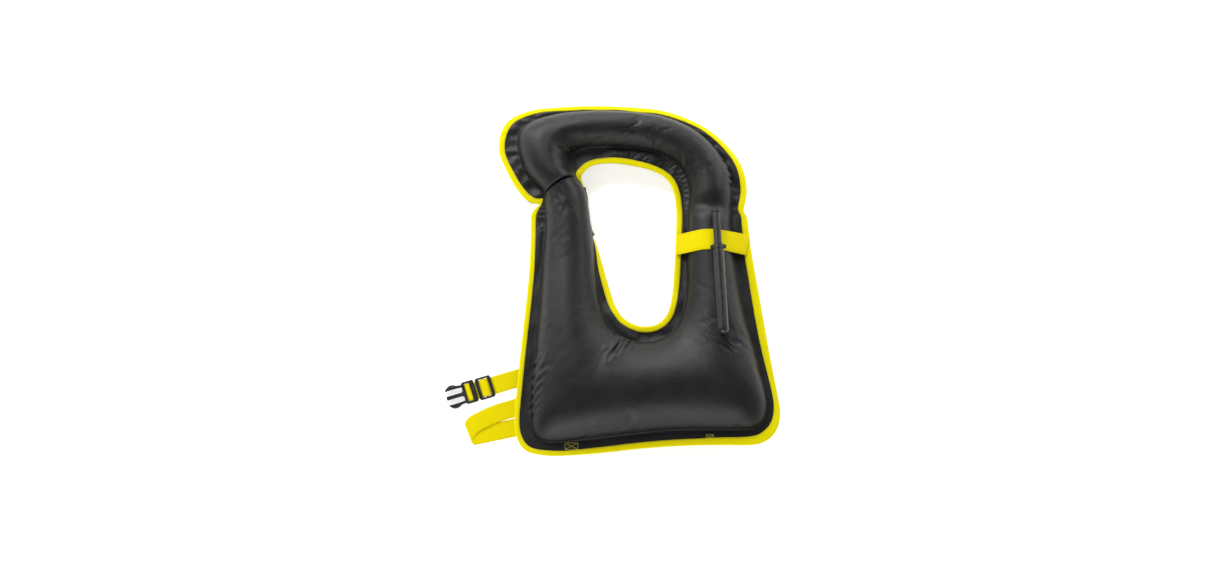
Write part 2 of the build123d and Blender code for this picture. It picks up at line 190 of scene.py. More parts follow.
class Vest:
    """The inflated cloth as grids of points: front and back of the chamber, and both margins."""

    def __init__(self):
        self.t, (neck, inner, outer, edge, rise) = vest_columns()
        angle = np.pi * (1 - np.linspace(0, 1, ACROSS + 1))
        share = (np.cos(angle) + 1) / 2
        self.swell = np.sin(angle)
        front = self.between(inner, outer, share)
        back = front.copy()
        front[:, :, 2] += rise * self.swell ** FULLNESS
        back[:, :, 2] -= rise * 0.98 * self.swell
        self.points = []
        self.front = self.add(front)
        middle = self.add(back[:, 1:-1])
        self.back = np.concatenate([self.front[:, :1], middle, self.front[:, -1:]], 1)
        rows = np.arange(1, MARGIN_ROWS + 1) / MARGIN_ROWS
        neck_rows = self.add(self.between(inner, neck, rows))
        edge_rows = self.add(self.between(outer, edge, rows))
        self.neck_margin = np.concatenate([self.front[:, :1], neck_rows], 1)
        self.edge_margin = np.concatenate([self.front[:, -1:], edge_rows], 1)
        self.points = np.array(self.points)
        self.left = int(np.argmin(np.minimum(self.t, len(STATIONS) - self.t)))
        self.right = int(np.argmin(np.abs(self.t - RIGHT_CREASE)))
        self.draw_in_creases()
        self.tape_share = np.interp(self.t, TAPE_AT, TAPE_SHARE)
        self.rippled = np.interp(self.t, RIPPLES_AT, RIPPLES)

    @staticmethod
    def between(start, end, share):
        return start[:, None] * (1 - share)[None, :, None] + end[:, None] * share[None, :, None]

    def add(self, block):
        first = len(self.points)
        self.points.extend(block.reshape(-1, 3))
        return np.arange(first, first + block.shape[0] * block.shape[1]).reshape(block.shape[:2])

    def draw_in_creases(self):
        """Pulls the front down along the left crease, and a little along the right one."""
        self.points[self.front[self.left], 2] = SEAM_Z + CREASE_HEIGHT * self.swell
        for k, line in enumerate(self.front):
            gap = (k - self.right) / 3.0
            self.points[line, 2] -= LIGHT_CREASE * math.exp(-gap * gap) * self.swell

    def faces(self, grids):
        """Quads of the grids, each given with whether its winding is turned over."""
        out = []
        for grid, turned in grids:
            after = np.roll(grid, -1, 0)
            quads = np.stack([grid[:, :-1], grid[:, 1:], after[:, 1:], after[:, :-1]], -1)
            quads = quads.reshape(-1, 4)
            out.append(quads[:, ::-1] if turned else quads)
        return np.concatenate(out)

    def panel(self, front):
        """The front or back panel as one grid, from the neck edge to the outer edge."""
        middle = self.front if front else self.back
        return np.concatenate([self.neck_margin[:, :0:-1], middle, self.edge_margin[:, 1:]], 1)


# ---------------------------------------------------------------- the inflator's line

HOSE_R = 0.009
PORT_GAP = 0.0004      # between the port's riser and the hose's foot


class Inflator:
    """The straight line from the hose's foot towards the mouthpiece."""
    foot = box_middle("hose_port")
    foot[2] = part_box("hose_port")[1][2] + PORT_GAP + HOSE_R
    reach = box_middle("mouthpiece") - foot
    along = reach / np.linalg.norm(reach)
    length = float(np.linalg.norm(reach)) + 0.03


CLEARANCE = 0.0012     # between the cloth and the inflator lying on it


def kept_below_inflator(points):
    """Points pressed down where the hose and the mouthpiece lie on the cloth."""
    out = points.copy()
    flat = Inflator.along[:2] / np.linalg.norm(Inflator.along[:2])
    offset = points[:, :2] - Inflator.foot[:2]
    reach = offset @ flat
    aside = np.abs(offset @ np.array([-flat[1], flat[0]]))
    slope = Inflator.along[2] / np.linalg.norm(Inflator.along[:2])
    axis_z = Inflator.foot[2] + slope * reach
    past = np.maximum(0, np.maximum(-reach, reach - Inflator.length))
    limit = axis_z - HOSE_R - CLEARANCE + (aside**2 + past**2) / 0.06
    near = (aside < 0.05) & (past < 0.05)
    out[near, 2] = np.minimum(out[near, 2], limit[near])
    return out


# ---------------------------------------------------------------- inflating the cloth

BASE_SLACK = 0.001     # share by which the sewn cloth is longer than the smooth shape
EXTRA_SLACK = 0.05     # and at the places below
FRAMES = 16            # steps of the simulation
FLOOR_GAP = 0.0005
MOVE_CAP = 0.012       # the most that inflating may move a point
# Places where the cloth is gathered: middle and radius in the vest's millimetres.
GATHERED = [
    ((152, 190), 18),
    ((-40, -120), 20),
]


CLOTH_SETTINGS = {
    "quality": 6,
    "mass": 0.25,
    "tension_stiffness": 40,
    "compression_stiffness": 40,
    "shear_stiffness": 15,
    "bending_stiffness": 0.3,
    "tension_damping": 15,
    "compression_damping": 15,
    "shear_damping": 10,
    "bending_damping": 0.5,
    "air_damping": 5,
    "use_pressure": True,
    "uniform_pressure_force": 12,
    "vertex_group_pressure": "chamber",
    "vertex_group_mass": "held",
    "pin_stiffness": 4,
    "vertex_group_shrink": "taut",
    "shrink_min": -EXTRA_SLACK,
    "shrink_max": -BASE_SLACK,
}


def slack_share(points):
    """From 0, smooth, to 1, gathered, for points in the vest's millimetres."""
    share = np.zeros(len(points))
    for (x, y), radius in GATHERED:
        gap = ((points[:, 0] - x) ** 2 + (points[:, 1] - y) ** 2) / radius**2
        share = np.maximum(share, np.exp(-gap))
    return share


def inflated(vest):
    """The vest's points, in metres, after the cloth has been blown up."""
    start = metres(vest.points)
    mesh = bpy.data.meshes.new("blowing_up")
    grids = [
        (vest.front, False), (vest.back, True), (vest.neck_margin, True), (vest.edge_margin, True)
    ]
    mesh.from_pydata(start.tolist(), [], vest.faces(grids).tolist())
    cloth = linked("blowing_up", mesh)

    held = cloth.vertex_groups.new(name="held")
    held.add(vest.neck_margin[:, -1].tolist() + vest.edge_margin[:, -1].tolist(), 1.0, "REPLACE")
    held.add(vest.front[:, 0].tolist() + vest.front[:, -1].tolist(), 0.3, "REPLACE")
    held.add(vest.front[vest.left, 6:-6].tolist(), 1.0, "REPLACE")
    port = np.linalg.norm(start[:, :2] - Inflator.foot[:2], axis=1)
    held.add(np.flatnonzero((port < 0.017) & (start[:, 2] > 0.06)).tolist(), 0.9, "REPLACE")
    chamber = cloth.vertex_groups.new(name="chamber")
    chamber.add(np.unique(np.concatenate([vest.front, vest.back])).tolist(), 1.0, "REPLACE")
    taut = cloth.vertex_groups.new(name="taut")
    taut_share = 1 - slack_share(vest.points)
    margins = np.concatenate([vest.neck_margin[:, 1:], vest.edge_margin[:, 1:]])
    taut_share[np.unique(margins)] = 0.35
    for index, share in enumerate(taut_share):
        taut.add([index], float(share), "REPLACE")

    modifier = cloth.modifiers.new("cloth", "CLOTH")
    settings = modifier.settings
    for setting, value in CLOTH_SETTINGS.items():
        setattr(settings, setting, value)
    settings.effector_weights.gravity = 0
    modifier.collision_settings.use_collision = False
    modifier.point_cache.frame_start = 1
    modifier.point_cache.frame_end = FRAMES
    scene = bpy.context.scene
    for number in range(1, FRAMES + 1):
        scene.frame_set(number)
    shown = cloth.evaluated_get(bpy.context.evaluated_depsgraph_get())
    points = np.empty(len(start) * 3, np.float32)
    shown.data.vertices.foreach_get("co", points)
    points = points.reshape(-1, 3).astype(float)
    bpy.data.objects.remove(cloth)
    scene.frame_set(1)
    move = points - start
    far = np.linalg.norm(move, axis=1, keepdims=True)
    points = start + move * np.minimum(1, MOVE_CAP / np.maximum(far, 1e-9))
    points[:, 2] = np.maximum(points[:, 2], FLOOR_GAP)
    return kept_below_inflator(points)


# Creases in the finished cloth: station and share across the chamber where each starts and
# ends, depth and half width in millimetres.
CREASES = [
    (8.0, 0.04, 8.8, 0.26, 4.4, 2.8),
    (8.9, 0.03, 9.5, 0.31, 6.4, 3.0),
    (9.8, 0.03, 10.3, 0.34, 6.8, 3.0),
    (10.6, 0.03, 10.9, 0.31, 6.0, 2.8),
    (11.3, 0.03, 11.4, 0.25, 3.8, 2.6),
    (5.62, 0.985, 5.62, 0.76, 4.4, 3.0),
    (5.90, 0.985, 5.92, 0.71, 5.4, 3.2),
    (6.18, 0.985, 6.20, 0.73, 5.2, 3.0),
    (6.46, 0.985, 6.46, 0.76, 4.6, 3.0),
    (6.80, 0.985, 6.80, 0.78, 4.2, 2.8),
    (7.15, 0.985, 7.15, 0.80, 3.4, 2.8),
    (28.9, 0.14, 29.6, 0.42, 1.8, 3.0),
    (29.4, 0.12, 30.2, 0.38, 2.0, 3.0),
    (31.6, 0.97, 31.7, 0.42, 1.5, 3.2),
    (31.95, 0.97, 32.0, 0.50, 1.4, 3.0),
    (28.1, 0.985, 28.2, 0.80, 3.6, 2.6),
    (28.5, 0.985, 28.5, 0.77, 4.0, 2.6),
    (28.9, 0.985, 28.9, 0.79, 3.6, 2.6),
    (29.3, 0.985, 29.3, 0.80, 3.6, 2.6),
    (36.2, 0.08, 36.8, 0.34, 2.4, 2.8),
    (37.0, 0.08, 37.5, 0.32, 2.2, 2.8),
]


def finer(grid):
    """A grid with twice the points each way, on smooth curves. It is closed along its columns."""
    count = len(grid)
    around = spline(grid.reshape(count, -1), np.arange(0, count, 0.5)).reshape(2 * count, -1, 3)
    before = np.concatenate([2 * around[:, :1] - around[:, 1:2], around[:, :-1]], 1)
    after = np.concatenate([around[:, 1:], 2 * around[:, -1:] - around[:, -2:-1]], 1)
    further = np.roll(after, -1, 1)
    further[:, -1] = 2 * after[:, -1] - around[:, -1]
    halfway = (9 * (around + after) - before - further) / 16
    out = np.empty((2 * count, 2 * around.shape[1] - 1, 3))
    out[:, ::2] = around
    out[:, 1::2] = halfway[:, :-1]
    return out


CREASE_BOW = 0.10      # how far a crease bows up between its ends, as a share of its length
CREASE_STEEP = 0.35    # weight of height in the distance from a crease
CREASE_LIP = 0.45      # height of the lip beside a crease, as a share of its depth
LIP_AT = 2.0           # and the lip's place, in half widths


def creased(vest, grid):
    """A finer grid of the front, with its short sewn-in creases pressed in."""
    share = np.clip((np.arange(grid.shape[1]) / 2 - MARGIN_ROWS) / ACROSS, 0, 1)
    along_rows = np.roll(grid, -1, 0) - np.roll(grid, 1, 0)
    normal = unit(np.cross(along_rows, np.gradient(grid, axis=1)))
    normal *= np.sign(normal[..., 2:].mean())
    columns = np.arange(len(vest.t)) * 2
    place = grid.reshape(-1, 3)
    change = np.zeros(len(place))
    for t0, v0, t1, v1, depth, width in CREASES:
        c0, c1 = np.interp([t0, t1], vest.t, columns)
        a = place_on(grid, share, c0, v0)
        b = place_on(grid, share, c1, v1)
        line = b - a
        along = np.clip((place - a) @ line / np.dot(line, line), 0, 1)
        bow = CREASE_BOW * np.linalg.norm(line) * np.sin(np.pi * along)
        nearest = a + along[:, None] * line
        nearest[:, 2] += bow
        offset = place - nearest
        offset[:, 2] *= CREASE_STEEP
        aside = np.linalg.norm(offset, axis=1) / (width * MM)
        fade = np.clip(0.05 + 6 * along, 0, 1) * np.clip(1.15 * (1 - along), 0, 1) ** 0.8
        lip = CREASE_LIP * np.exp(-((aside - LIP_AT) ** 2))
        change += depth * MM * fade * (lip - np.exp(-(aside**2)))
    return grid + normal * change.reshape(grid.shape[:2])[..., None]


def place_on(grid, share, column, across):
    """The point of the grid at a fraction of a column and a share of the way across."""
    low = int(column) % len(grid)
    line = grid[low] * (1 - column % 1) + grid[(low + 1) % len(grid)] * (column % 1)
    return np.array([np.interp(across, share, line[:, k]) for k in range(3)])


FLAT_TO = 0.0105       # the margin is flat this far in from the cut edge, inside the tape
FLAT_FADE = 0.006
# How much of the ripple in the margins is kept, by station: the bib's are pressed, the collar's not.
RIPPLES_AT = [0, 1, 2.5, 25, 28, 42]
RIPPLES = [1, 1, 0.1, 0.1, 1, 1]


def pressed_margins(vest, cloth):
    """The cloth with the bib's margins pressed, and its cut edges flat inside the binding."""
    out = cloth.copy()
    both = ((vest.edge_margin, vest.tape_share), (vest.neck_margin, np.ones(len(vest.t))))
    for margin, width in both:
        for row in range(1, margin.shape[1]):
            index = margin[:, row]
            calm = smoothed(out[index], 12)
            out[index, 2] = calm[:, 2] + (out[index, 2] - calm[:, 2]) * vest.rippled
        edge, inward, up = edge_frames(out[margin])
        for row in range(1, margin.shape[1]):
            index = margin[:, row]
            offset = out[index] - edge
            reach = np.sum(offset * inward, 1) / width
            share = np.clip((FLAT_TO + FLAT_FADE - reach) / FLAT_FADE, 0, 1)
            height = np.sum(offset * up, 1)
            out[index] -= up * (height * share)[:, None]
    return out


# ---------------------------------------------------------------- making meshes

def new_piece(name, points, faces, strip=None):
    """A mesh object. strip holds each point's place along and across the cloth, in metres."""
    mesh = bpy.data.meshes.new(name)
    mesh.from_pydata(np.asarray(points).tolist(), [], [list(map(int, f)) for f in faces])
    if strip is not None:
        cloth = mesh.attributes.new("cloth", "FLOAT_VECTOR", "POINT")
        cloth.data.foreach_set("vector", np.asarray(strip, np.float32).ravel())
    piece = linked(name, mesh)
    work = bmesh.new()
    work.from_mesh(mesh)
    bmesh.ops.recalc_face_normals(work, faces=work.faces)
    work.to_mesh(mesh)
    work.free()
    for polygon in mesh.polygons:
        polygon.use_smooth = True
    return piece


def baked(piece):
    """Applies the piece's modifiers."""
    shown = piece.evaluated_get(bpy.context.evaluated_depsgraph_get())
    final = bpy.data.meshes.new_from_object(shown)
    piece.modifiers.clear()
    piece.data = final
    for polygon in final.polygons:
        polygon.use_smooth = True
    return piece


def with_thickness(piece, thickness, offset=-1.0):
    """Gives a sheet a thickness."""
    bpy.context.view_layer.update()
    solid = piece.modifiers.new("thickness", "SOLIDIFY")
    solid.thickness = thickness
    solid.offset = offset
    return baked(piece)


def softened(piece, width, angle):
    """Adds a rounding of the edges sharper than an angle in degrees."""
    edge = piece.modifiers.new("rounding", "BEVEL")
    edge.width = width
    edge.segments = 2
    edge.limit_method = "ANGLE"
    edge.angle_limit = math.radians(angle)


def unit(vectors):
    return vectors / np.maximum(np.linalg.norm(vectors, axis=-1, keepdims=True), 1e-12)


def smoothed(values, passes, closed=True):
    """Values averaged with their neighbours along a line."""
    for _ in range(passes):
        before, after = np.roll(values, 1, 0), np.roll(values, -1, 0)
        if not closed:
            before[0], after[-1] = values[0], values[-1]
        values = (before + 2 * values + after) / 4
    return values


def lengths_along(line, closed=False):
    """Distance from the start to each point of a line, and to its end if it is closed."""
    steps = np.linalg.norm(np.diff(line, axis=0), axis=1)
    if closed:
        steps = np.append(steps, np.linalg.norm(line[0] - line[-1]))
    return np.concatenate([[0], np.cumsum(steps)])


def swept(name, line, side, up, profile, closed=False):
    """A closed profile, given as (aside, above) pairs in metres, carried along a line."""
    count, around = len(line), len(profile)
    profile = np.asarray(profile, float)
    points = (
        line[:, None]
        + side[:, None] * profile[None, :, :1]
        + up[:, None] * profile[None, :, 1:]
    ).reshape(-1, 3)
    along = np.repeat(lengths_along(line)[:, None], around, 1)
    across = np.repeat(profile[None, :, 0], count, 0)
    strip = np.stack([along, across, np.zeros_like(along)], -1).reshape(-1, 3)
    index = np.arange(count * around).reshape(count, around)
    after = np.roll(index, -1, 0) if closed else index[1:]
    before = index if closed else index[:-1]
    quads = np.stack([before, np.roll(before, -1, 1), np.roll(after, -1, 1), after], -1).reshape(-1, 4)
    faces = quads.tolist()
    if not closed:
        faces += [index[0].tolist(), index[-1, ::-1].tolist()]
    return new_piece(name, points, faces, strip)


def webbing_profile(width, thickness):
    """A flat strap's section, with rounded selvedges."""
    half, edge = width / 2, thickness / 2
    angles = (0.5, 1.1, 1.57, 2.04, 2.64)
    top = [(x, edge) for x in np.linspace(half - edge, edge - half, 8)]
    left = [(-half + edge * (1 - math.sin(a)), edge * math.cos(a)) for a in angles]
    bottom = [(x, -edge) for x in np.linspace(edge - half, half - edge, 8)]
    right = [(half - edge * (1 - math.sin(a)), -edge * math.cos(a)) for a in angles]
    return top + left + bottom + right


def stitches(name, line, up, length=0.0028, gap=0.0011, radius=0.00028, closed=False):
    """A row of machine stitches along a line, each a small bent piece of thread."""
    total = lengths_along(line, closed)
    whole = np.concatenate([line, line[:1]]) if closed else line
    ups = np.concatenate([up, up[:1]]) if closed else up
    count = max(1, int(total[-1] / (length + gap)))
    starts = (np.arange(count) + 0.5) * total[-1] / count - length / 2
    rings = [(0.0, 0.35, -0.7), (0.18, 1.0, 0.3), (0.82, 1.0, 0.3), (1.0, 0.35, -0.7)]
    sides = 6
    turn = np.arange(sides) * 2 * np.pi / sides

    def at(distance, values):
        return np.stack([np.interp(distance, total, values[:, k]) for k in range(3)], -1)

    points = []
    for share, size, lift in rings:
        centre = at(starts + share * length, whole)
        normal = unit(at(starts + share * length, ups))
        ahead = unit(at(starts + length, whole) - at(starts, whole))
        aside = unit(np.cross(ahead, normal))
        ring = (
            centre[:, None]
            + normal[:, None] * lift * radius
            + size * radius * (
                aside[:, None] * np.cos(turn)[None, :, None] + normal[:, None] * np.sin(turn)[None, :, None]
            )
        )
        points.append(ring)
    points = np.stack(points, 1).reshape(-1, 3)
    faces = []
    for k in range(count):
        first = k * len(rings) * sides
        for r in range(len(rings) - 1):
            for s in range(sides):
                a, b = first + r * sides + s, first + r * sides + (s + 1) % sides
                faces.append((a, b, b + sides, a + sides))
        faces.append(tuple(range(first + sides - 1, first - 1, -1)))
        last = first + (len(rings) - 1) * sides
        faces.append(tuple(range(last, last + sides)))
    return new_piece(name, points, faces)


# ---------------------------------------------------------------- materials

def shader(name, colour, roughness, **sockets):
    """A new material with its Principled shader set, and its node tree."""
    material = bpy.data.materials.new(name)
    material.use_nodes = True
    tree = material.node_tree
    principled = tree.nodes["Principled BSDF"]
    principled.inputs["Base Color"].default_value = (*colour, 1)
    principled.inputs["Roughness"].default_value = roughness
    for socket, value in sockets.items():
        principled.inputs[socket.replace("_", " ")].default_value = value
    return material, tree, principled


def node(tree, kind, **values):
    made = tree.nodes.new("ShaderNode" + kind)
    for key, value in values.items():
        if key in made.inputs:
            made.inputs[key].default_value = value
        else:
            setattr(made, key, value)
    return made


def arithmetic(tree, operation, first, second=0.0):
    made = tree.nodes.new("ShaderNodeMath")
    made.operation = operation
    for socket, value in zip(made.inputs, (first, second)):
        if isinstance(value, (int, float)):
            socket.default_value = value
        else:
            tree.links.new(value, socket)
    return made.outputs[0]


def noise(tree, vector, scale, detail):
    made = node(tree, "TexNoise", Scale=scale, Detail=detail)
    tree.links.new(vector, made.inputs["Vector"])
    return made.outputs["Fac"]


def ramp(tree, factor, stops):
    made = tree.nodes.new("ShaderNodeValToRGB")
    while len(made.color_ramp.elements) < len(stops):
        made.color_ramp.elements.new(0.5)
    for element, (place, colour) in zip(made.color_ramp.elements, stops):
        element.position = place
        element.color = (*colour, 1)
    tree.links.new(factor, made.inputs["Fac"])
    return made.outputs["Color"]


def bump(tree, principled, height, distance, strength, under=None):
    made = node(tree, "Bump", Strength=strength, Distance=distance)
    tree.links.new(height, made.inputs["Height"])
    if under is not None:
        tree.links.new(under, made.inputs["Normal"])
    tree.links.new(made.outputs["Normal"], principled.inputs["Normal"])
    return made.outputs["Normal"]


def cloth_place(tree):
    """Each point's place along and across the cloth, in metres."""
    made = tree.nodes.new("ShaderNodeAttribute")
    made.attribute_name = "cloth"
    parts = tree.nodes.new("ShaderNodeSeparateXYZ")
    tree.links.new(made.outputs["Vector"], parts.inputs[0])
    return made.outputs["Vector"], parts.outputs["X"], parts.outputs["Y"]


def object_place(tree):
    return tree.nodes.new("ShaderNodeTexCoord").outputs["Object"]


def scaled(tree, value, factor, plus):
    """A value times a factor, plus a number."""
    return arithmetic(tree, "ADD", arithmetic(tree, "MULTIPLY", value, factor), plus)


def wave(tree, place, pitch):
    """A sine along a place in metres, from -1 to 1."""
    return arithmetic(tree, "SINE", arithmetic(tree, "MULTIPLY", place, 2 * math.pi / pitch))


def half_up(tree, value):
    """A value from -1 to 1 brought to 0 to 1."""
    return scaled(tree, value, 0.5, 0.5)


def coloured(tree, principled, factor, stops):
    """A base colour that varies with a factor."""
    tree.links.new(ramp(tree, factor, stops), principled.inputs["Base Color"])


def roughened(tree, principled, value, factor, plus):
    """A roughness that varies with a value."""
    tree.links.new(scaled(tree, value, factor, plus), principled.inputs["Roughness"])


def plain_weave(tree, along, across, pitch):
    """Warp and weft crossing over each other, from 0 to 1."""
    warp = wave(tree, along, pitch)
    weft = wave(tree, across, pitch)
    return half_up(tree, arithmetic(tree, "MULTIPLY", warp, weft))


def nylon():
    """Coated black nylon: a fine plain weave, a soft satin gloss and faint creasing."""
    material, tree, principled = shader("nylon_black", (0.008, 0.008, 0.009), 0.4)
    principled.inputs["Specular IOR Level"].default_value = 0.42
    principled.inputs["Sheen Weight"].default_value = 0.04
    principled.inputs["Sheen Roughness"].default_value = 0.4
    principled.inputs["Sheen Tint"].default_value = (0.75, 0.78, 0.82, 1)
    vector, along, across = cloth_place(tree)
    weave = plain_weave(tree, along, across, 0.0012)
    cloudy = noise(tree, vector, 26.0, 4.0)
    fine = noise(tree, vector, 260.0, 2.0)
    colour = ramp(tree, cloudy, [(0.3, (0.005, 0.005, 0.0055)), (0.7, (0.010, 0.010, 0.011))])
    mix = node(tree, "Mix", data_type="RGBA", blend_type="MULTIPLY")
    mix.inputs["Factor"].default_value = 0.3
    tree.links.new(colour, mix.inputs["A"])
    tree.links.new(ramp(tree, weave, [(0.0, (0.55, 0.55, 0.55)), (1.0, (1, 1, 1))]), mix.inputs["B"])
    tree.links.new(mix.outputs["Result"], principled.inputs["Base Color"])
    roughened(tree, principled, cloudy, 0.14, 0.37)
    soft = bump(tree, principled, noise(tree, vector, 55.0, 3.0), 0.0016, 0.35)
    threads = bump(tree, principled, weave, 0.00012, 0.5, under=soft)
    bump(tree, principled, fine, 0.0002, 0.25, under=threads)
    return material


def woven_yellow(name, pitch_along, pitch_across, deep, bright, selvedge=None):
    """Yellow polyester strap or tape: ribs across it, warp lines along it."""
    material, tree, principled = shader(name, bright, 0.62)
    principled.inputs["Sheen Weight"].default_value = 0.02
    principled.inputs["Specular IOR Level"].default_value = 0.06
    vector, along, across = cloth_place(tree)
    rib = half_up(tree, wave(tree, along, pitch_along))
    warp = half_up(tree, wave(tree, across, pitch_across))
    both = arithmetic(tree, "MULTIPLY", arithmetic(tree, "ADD", rib, warp), 0.5)
    if selvedge:
        edge = arithmetic(tree, "GREATER_THAN", arithmetic(tree, "ABSOLUTE", across), selvedge)
        both = arithmetic(tree, "SUBTRACT", both, arithmetic(tree, "MULTIPLY", edge, 0.45))
    cloudy = noise(tree, vector, 40.0, 4.0)
    ribs = arithmetic(tree, "MULTIPLY", both, 0.7)
    shade = arithmetic(tree, "ADD", ribs, arithmetic(tree, "MULTIPLY", cloudy, 0.5))
    coloured(tree, principled, shade, [(0.15, deep), (0.75, bright)])
    waves = bump(tree, principled, cloudy, 0.0006, 0.3)
    bump(tree, principled, both, 0.00022, 0.8, under=waves)
    return material


def thread_material(name, colour):
    """Twisted sewing thread."""
    material, tree, principled = shader(name, colour, 0.5)
    principled.inputs["Sheen Weight"].default_value = 0.3
    place = object_place(tree)
    twist = noise(tree, place, 2600.0, 1.0)
    darker = tuple(c * 0.72 for c in colour)
    coloured(tree, principled, twist, [(0.3, darker), (0.7, colour)])
    bump(tree, principled, twist, 0.0001, 0.5)
    return material


def rubber():
    """Black hose rubber, slightly glossy, with a moulding's faint orange peel."""
    material, tree, principled = shader("rubber_black", (0.014, 0.014, 0.015), 0.33)
    principled.inputs["Coat Weight"].default_value = 0.25
    principled.inputs["Coat Roughness"].default_value = 0.22
    place = object_place(tree)
    peel = noise(tree, place, 420.0, 3.0)
    dust = noise(tree, place, 60.0, 4.0)
    coloured(tree, principled, dust, [(0.35, (0.011, 0.011, 0.012)), (0.75, (0.026, 0.026, 0.027))])
    roughened(tree, principled, dust, 0.16, 0.24)
    bump(tree, principled, peel, 0.00018, 0.35)
    return material


def moulded_plastic():
    """Black acetal: fine spark-eroded texture and a dull gloss."""
    material, tree, principled = shader("plastic_black", (0.02, 0.02, 0.021), 0.4)
    place = object_place(tree)
    grain = noise(tree, place, 1500.0, 2.0)
    wear = noise(tree, place, 90.0, 5.0)
    coloured(tree, principled, wear, [(0.4, (0.013, 0.013, 0.014)), (0.8, (0.034, 0.034, 0.035))])
    roughened(tree, principled, wear, 0.2, 0.28)
    bump(tree, principled, grain, 0.00012, 0.4)
    return material


def bladder_film():
    """Milky polyurethane film."""
    material, tree, principled = shader("bladder_film", (0.72, 0.74, 0.72), 0.3)
    place = object_place(tree)
    cloudy = noise(tree, place, 30.0, 4.0)
    coloured(tree, principled, cloudy, [(0.3, (0.6, 0.62, 0.6)), (0.7, (0.8, 0.82, 0.8))])
    bump(tree, principled, cloudy, 0.001, 0.3)
    return material


def steel():
    """Spring wire."""
    material, tree, principled = shader("spring_steel", (0.62, 0.62, 0.63), 0.28, Metallic=1.0)
    place = object_place(tree)
    drawn = noise(tree, place, 900.0, 2.0)
    roughened(tree, principled, drawn, 0.2, 0.2)
    bump(tree, principled, drawn, 0.00005, 0.3)
    return material


def floor_material():
    material, tree, principled = shader("studio_floor", (0.9, 0.9, 0.9), 0.85)
    principled.inputs["Specular IOR Level"].default_value = 0.2
    principled.inputs["Emission Color"].default_value = (1, 1, 1, 1)
    principled.inputs["Emission Strength"].default_value = 0.65
    bump(tree, principled, noise(tree, object_place(tree), 300.0, 2.0), 0.0002, 0.2)
    return material


WEB_YELLOW = (0.93, 0.79, 0.0)
WEB_YELLOW_DEEP = (0.83, 0.67, 0.0)
TAPE_YELLOW = (0.98, 0.87, 0.0)
TAPE_YELLOW_DEEP = (0.85, 0.72, 0.0)
NYLON = nylon()
TAPE = woven_yellow("tape_yellow", 0.0011, 0.0009, TAPE_YELLOW_DEEP, TAPE_YELLOW)
WEBBING = woven_yellow(
    "webbing_yellow", 0.0016, 0.0021, WEB_YELLOW_DEEP, WEB_YELLOW, selvedge=0.0132
)
YELLOW_THREAD = thread_material("thread_yellow", (0.88, 0.76, 0.05))
BLACK_THREAD = thread_material("thread_black", (0.012, 0.012, 0.012))
RUBBER = rubber()
PLASTIC = moulded_plastic()
FILM = bladder_film()
STEEL = steel()


def dressed(piece, material):
    piece.data.materials.clear()
    piece.data.materials.append(material)
    return piece


# ---------------------------------------------------------------- covers, bladder and binding


def over_fold(piece):
    """Bakes the piece's placing into its mesh."""
    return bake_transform(piece)


PLY = 0.0006           # half the gap between front and back panels in the margins
COVER_THICKNESS = 0.0008


def grid_faces(count, width, closed=True):
    index = np.arange(count * width).reshape(count, width)
    after = np.roll(index, -1, 0) if closed else index[1:]
    before = index if closed else index[:-1]
    return np.stack([before[:, :-1], before[:, 1:], after[:, 1:], after[:, :-1]], -1).reshape(-1, 4)


def grid_strip(points):
    """Place along and across the cloth for a closed grid of points."""
    middle = points[:, points.shape[1] // 2]
    along = np.repeat(lengths_along(middle)[:, None], points.shape[1], 1)
    steps = np.linalg.norm(np.diff(points, axis=1), axis=2)
    across = np.concatenate([np.zeros((len(points), 1)), np.cumsum(steps, 1)], 1)
    return np.stack([along, across, np.zeros_like(along)], -1).reshape(-1, 3)


def make_panel(name, vest, cloth, front):
    """The front or back cover, from its neck edge to its outer edge."""
    points = cloth[vest.panel(front)].copy()
    side = 1 if front else -1
    width = points.shape[1]
    lift = np.zeros(width)
    lift[: MARGIN_ROWS + 1] = 1
    lift[-MARGIN_ROWS - 1:] = 1
    points[:, :, 2] += side * PLY * lift
    points = finer(points)
    if front:
        points = kept_below_inflator(creased(vest, points).reshape(-1, 3)).reshape(points.shape)
    faces = grid_faces(len(points), points.shape[1])
    faces = faces[:, ::-1] if front else faces
    panel = new_piece(name, points.reshape(-1, 3), faces, grid_strip(points))
    work = bmesh.new()
    work.from_mesh(panel.data)
    work.faces.ensure_lookup_table()
    upward = sum(face.normal.z for face in work.faces)
    if upward * side < 0:
        bmesh.ops.reverse_faces(work, faces=work.faces)
    work.to_mesh(panel.data)
    work.free()
    # The finished panel's own area, so the measured area_share is near 1 by construction.
    with_thickness(panel, COVER_THICKNESS)
    dressed(panel, NYLON)
    over_fold(panel)
    return panel


BLADDER_INSET = 0.004


